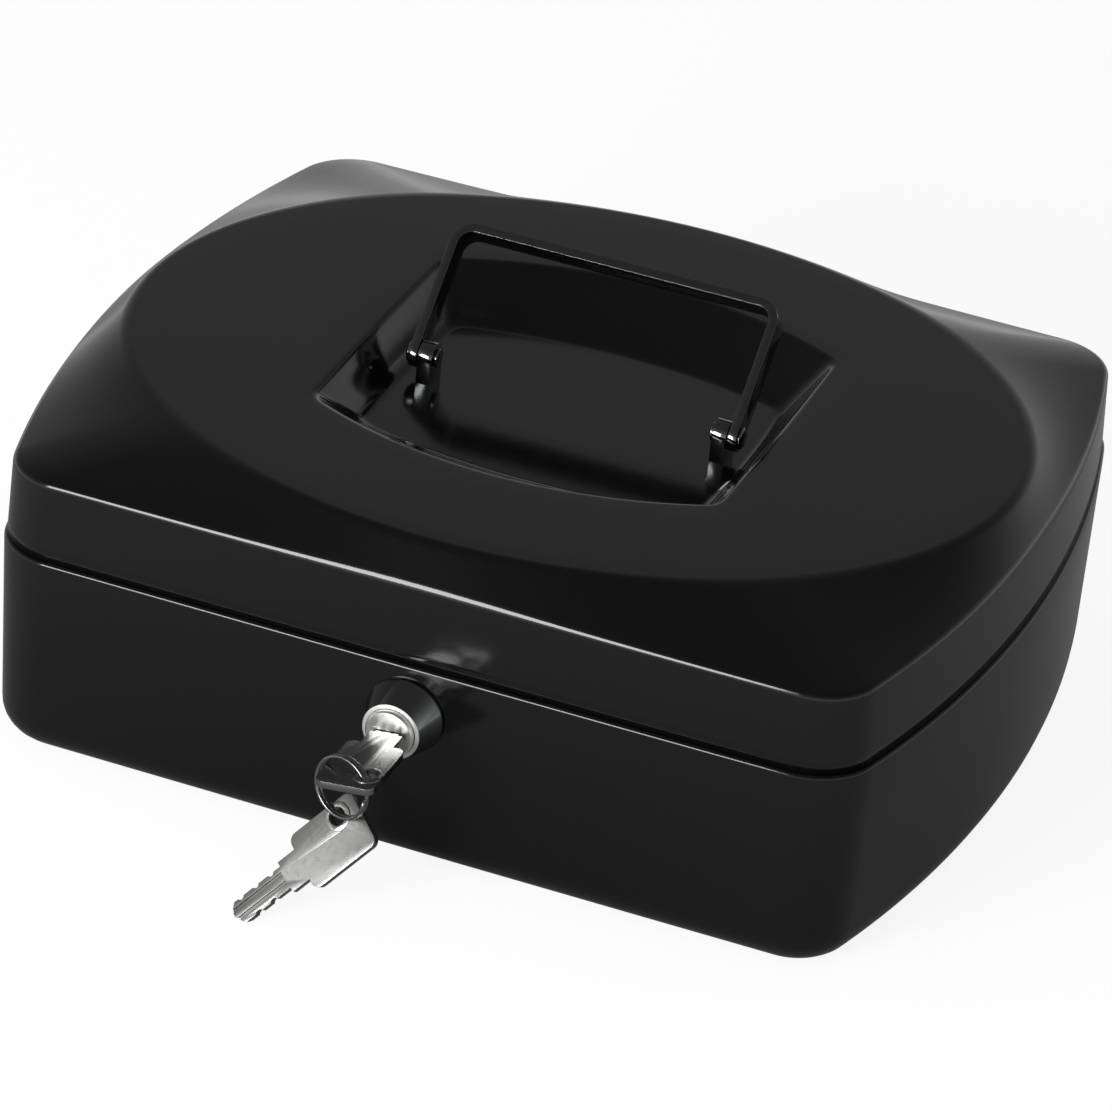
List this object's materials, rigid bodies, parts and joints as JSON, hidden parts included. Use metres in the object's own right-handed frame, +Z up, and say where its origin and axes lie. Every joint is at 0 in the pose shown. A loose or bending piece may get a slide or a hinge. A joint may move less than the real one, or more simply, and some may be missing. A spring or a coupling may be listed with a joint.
{
  "type": "cash box",
  "caption": "Lockable drawn steel cash box with a crowned lid, recessed bail handle, lift-out coin tray, cam lock and two keys on a split ring.",
  "frame": {"origin": "middle of the flat bottom, under the middle of the box body", "axes": "+Z up, +X along the width, the front wall with the lock faces -Y"},
  "size_m": [0.25, 0.2472, 0.1096],
  "materials": {
    "black_paint": "gloss, very fine grain",
    "dark_chrome": "polished dark chrome",
    "bright_nickel": "bright nickel plate",
    "plain_steel": "zinc plated",
    "brass": "stamped",
    "tray_plastic": "fine moulded grain"
  },
  "bodies": {
    "base": {"base_shell": "black_paint", "hinge_base_leaf_left": "black_paint", "hinge_base_leaf_right": "black_paint", "hinge_pin_left": "plain_steel", "hinge_pin_right": "plain_steel", "lock_housing": "dark_chrome", "lock_nut": "plain_steel"},
    "lid": {"lid_shell": "black_paint", "hinge_lid_leaf_left": "black_paint", "hinge_lid_leaf_right": "black_paint", "lock_strike": "plain_steel", "handle_post_left": "dark_chrome", "handle_post_right": "dark_chrome", "post_backing_plates": "plain_steel", "handle_rivet_left": "dark_chrome", "handle_rivet_right": "dark_chrome"},
    "bail": {"handle": "dark_chrome"},
    "tray": {"coin_tray": "tray_plastic"},
    "plug": {"lock_plug": "bright_nickel", "lock_wafers": "brass", "lock_cam": "plain_steel", "cam_screw": "plain_steel"},
    "key": {"key_in_lock": "bright_nickel"},
    "ring": {"key_ring": "bright_nickel"},
    "spare": {"spare_key": "bright_nickel"}
  },
  "joints": [
    {"name": "lid_hinge", "type": "hinge", "parent": "base", "child": "lid", "pos_m": [0, 0.1032, 0.0564], "axis": [-1, 0, 0], "range_deg": [0, 100]},
    {"name": "handle_pivot", "type": "hinge", "parent": "lid", "child": "bail", "pos_m": [0, 0, 0.0814], "axis": [-1, 0, 0], "range_deg": [-132, 38]},
    {"name": "tray_lift", "type": "slide", "parent": "base", "child": "tray", "axis": [0, 0, 1], "range_m": [0, 0.006]},
    {"name": "plug_turn", "type": "hinge", "parent": "base", "child": "plug", "pos_m": [0, -0.1103, 0.0423], "axis": [0, 1, 0], "range_deg": [0, 96]},
    {"name": "key_slide", "type": "slide", "parent": "plug", "child": "key", "axis": [0, -1, 0], "range_m": [0, 0.02]},
    {"name": "ring_swing", "type": "hinge", "parent": "key", "child": "ring", "pos_m": [-0.00262, -0.1313, 0.04272], "axis": [1, 0, 0], "range_deg": [-4, 4]},
    {"name": "spare_key_swing", "type": "hinge", "parent": "ring", "child": "spare", "pos_m": [-0.00322, -0.1294, 0.02902], "axis": [-0.2599, -0.8455, 0.4664], "range_deg": [-4, 20]}
  ]
}
